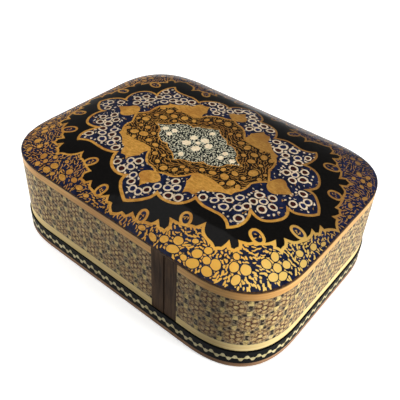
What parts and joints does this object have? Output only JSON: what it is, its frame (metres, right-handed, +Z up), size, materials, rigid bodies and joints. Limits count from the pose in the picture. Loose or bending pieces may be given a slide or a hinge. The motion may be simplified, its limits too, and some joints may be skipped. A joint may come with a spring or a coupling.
{
  "type": "playing card box",
  "caption": "Low wooden box with rounded corners for a pack of playing cards, marquetry sides, a domed painted and lacquered top, and an end drawer that pulls out.",
  "frame": {"origin": "centre of the underside", "axes": "+X along the length, towards the drawer's rounded end, which is also the way the drawer pulls out; +Y across the width, from the long side seen in the picture to the far one; +Z up"},
  "size_m": [0.116, 0.0862, 0.0403],
  "materials": {
    "walnut": "satin",
    "plain_wood": "plain",
    "dark_bar": "satin varnish",
    "tan_stringing": "varnished",
    "cream_stringing": "varnished",
    "khatam": "varnished mosaic of wood, bone and brass",
    "ebony": "varnished",
    "bone": "varnished pale wood or bone",
    "painted_lacquer": "painted in gold and blue on black under a gloss lacquer",
    "velvet": "short pile"
  },
  "bodies": {
    "case": {"bottom_plate": "walnut", "base_board": "plain_wood", "base_band_lower": "ebony", "base_zigzag_inlay": "bone", "base_band_upper": "ebony", "case_wall_core": "plain_wood", "case_lower_stringing": "cream_stringing", "case_khatam_veneer": "khatam", "case_top_stringing": "tan_stringing", "case_edge_bar_front": "dark_bar", "case_edge_bar_back": "dark_bar", "domed_top": "painted_lacquer"},
    "drawer": {"drawer_wall_core": "plain_wood", "drawer_lower_stringing": "cream_stringing", "drawer_khatam_veneer": "khatam", "drawer_top_stringing": "tan_stringing", "drawer_edge_bar_front": "dark_bar", "drawer_edge_bar_back": "dark_bar", "tray_wall": "walnut", "tray_floor": "walnut", "tray_lining": "velvet"}
  },
  "joints": [
    {"name": "drawer_slide", "type": "slide", "parent": "case", "child": "drawer", "axis": [1, 0, 0], "range_m": [0, 0.09]}
  ]
}
